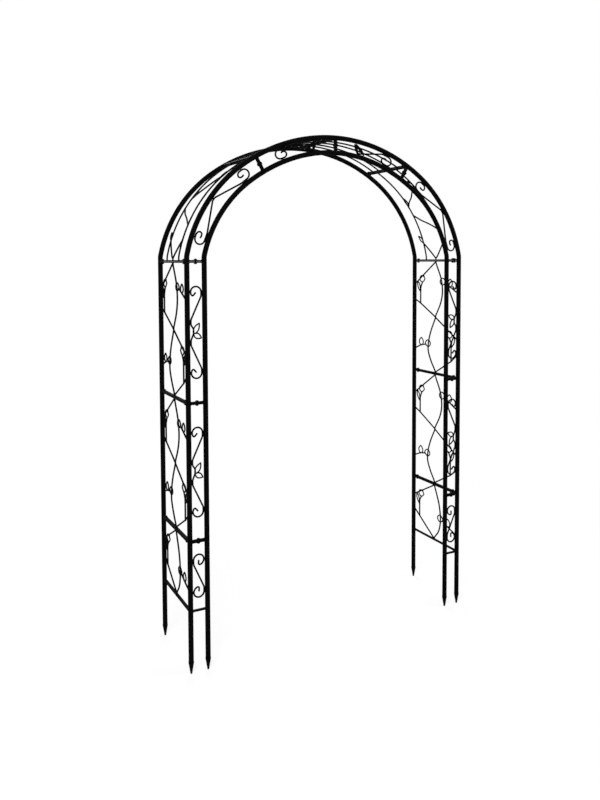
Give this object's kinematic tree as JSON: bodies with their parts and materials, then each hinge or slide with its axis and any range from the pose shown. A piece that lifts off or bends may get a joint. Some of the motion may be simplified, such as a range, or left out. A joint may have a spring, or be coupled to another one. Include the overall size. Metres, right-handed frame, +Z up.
{
  "type": "garden arch",
  "caption": "Walk-through garden arch of welded steel tube: a double front arch filled with wire scrolls, vine-pattern sides and roof, bolted sections and blunt ground points.",
  "frame": {"origin": "middle of the plan rectangle that holds the legs, at the level of the tips of the ground points", "axes": "+Z up, +Y from the scrolled front to the plain back, +X to the right as seen from the front"},
  "size_m": [1.4238, 0.3888, 2.284],
  "materials": {
    "frame_steel": "black powder coat, satin",
    "fastener_steel": "black coated steel, a little brighter than the frame"
  },
  "bodies": {
    "root": {"crown_front_bolt": "fastener_steel", "crown_side_back_bolt": "fastener_steel", "crown_side_front_bolt": "fastener_steel", "left_crown_front_frame": "frame_steel", "left_crown_roof_panel": "frame_steel", "left_crown_scroll": "frame_steel", "left_foot_back_tube": "frame_steel", "left_foot_front_frame": "frame_steel", "left_foot_scroll": "frame_steel", "left_foot_side_panel": "frame_steel", "left_haunch_front_frame": "frame_steel", "left_haunch_roof_panel": "frame_steel", "left_haunch_scroll": "frame_steel", "left_low_front_bolt": "fastener_steel", "left_low_side_back_bolt": "fastener_steel", "left_low_side_front_bolt": "fastener_steel", "left_lower_front_frame": "frame_steel", "left_lower_scroll": "frame_steel", "left_lower_side_panel": "frame_steel", "left_middle_front_bolt": "fastener_steel", "left_middle_side_back_bolt": "fastener_steel", "left_middle_side_front_bolt": "fastener_steel", "left_shoulder_front_bolt": "fastener_steel", "left_shoulder_side_back_bolt": "fastener_steel", "left_shoulder_side_front_bolt": "fastener_steel", "left_springing_front_bolt": "fastener_steel", "left_springing_side_back_bolt": "fastener_steel", "left_springing_side_front_bolt": "fastener_steel", "left_upper_front_frame": "frame_steel", "left_upper_scroll": "frame_steel", "left_upper_side_panel": "frame_steel", "right_crown_front_frame": "frame_steel", "right_crown_roof_panel": "frame_steel", "right_crown_scroll": "frame_steel", "right_foot_back_tube": "frame_steel", "right_foot_front_frame": "frame_steel", "right_foot_scroll": "frame_steel", "right_foot_side_panel": "frame_steel", "right_haunch_front_frame": "frame_steel", "right_haunch_roof_panel": "frame_steel", "right_haunch_scroll": "frame_steel", "right_low_front_bolt": "fastener_steel", "right_low_side_back_bolt": "fastener_steel", "right_low_side_front_bolt": "fastener_steel", "right_lower_front_frame": "frame_steel", "right_lower_scroll": "frame_steel", "right_lower_side_panel": "frame_steel", "right_middle_front_bolt": "fastener_steel", "right_middle_side_back_bolt": "fastener_steel", "right_middle_side_front_bolt": "fastener_steel", "right_shoulder_front_bolt": "fastener_steel", "right_shoulder_side_back_bolt": "fastener_steel", "right_shoulder_side_front_bolt": "fastener_steel", "right_springing_front_bolt": "fastener_steel", "right_springing_side_back_bolt": "fastener_steel", "right_springing_side_front_bolt": "fastener_steel", "right_upper_front_frame": "frame_steel", "right_upper_scroll": "frame_steel", "right_upper_side_panel": "frame_steel"}
  },
  "joints": []
}
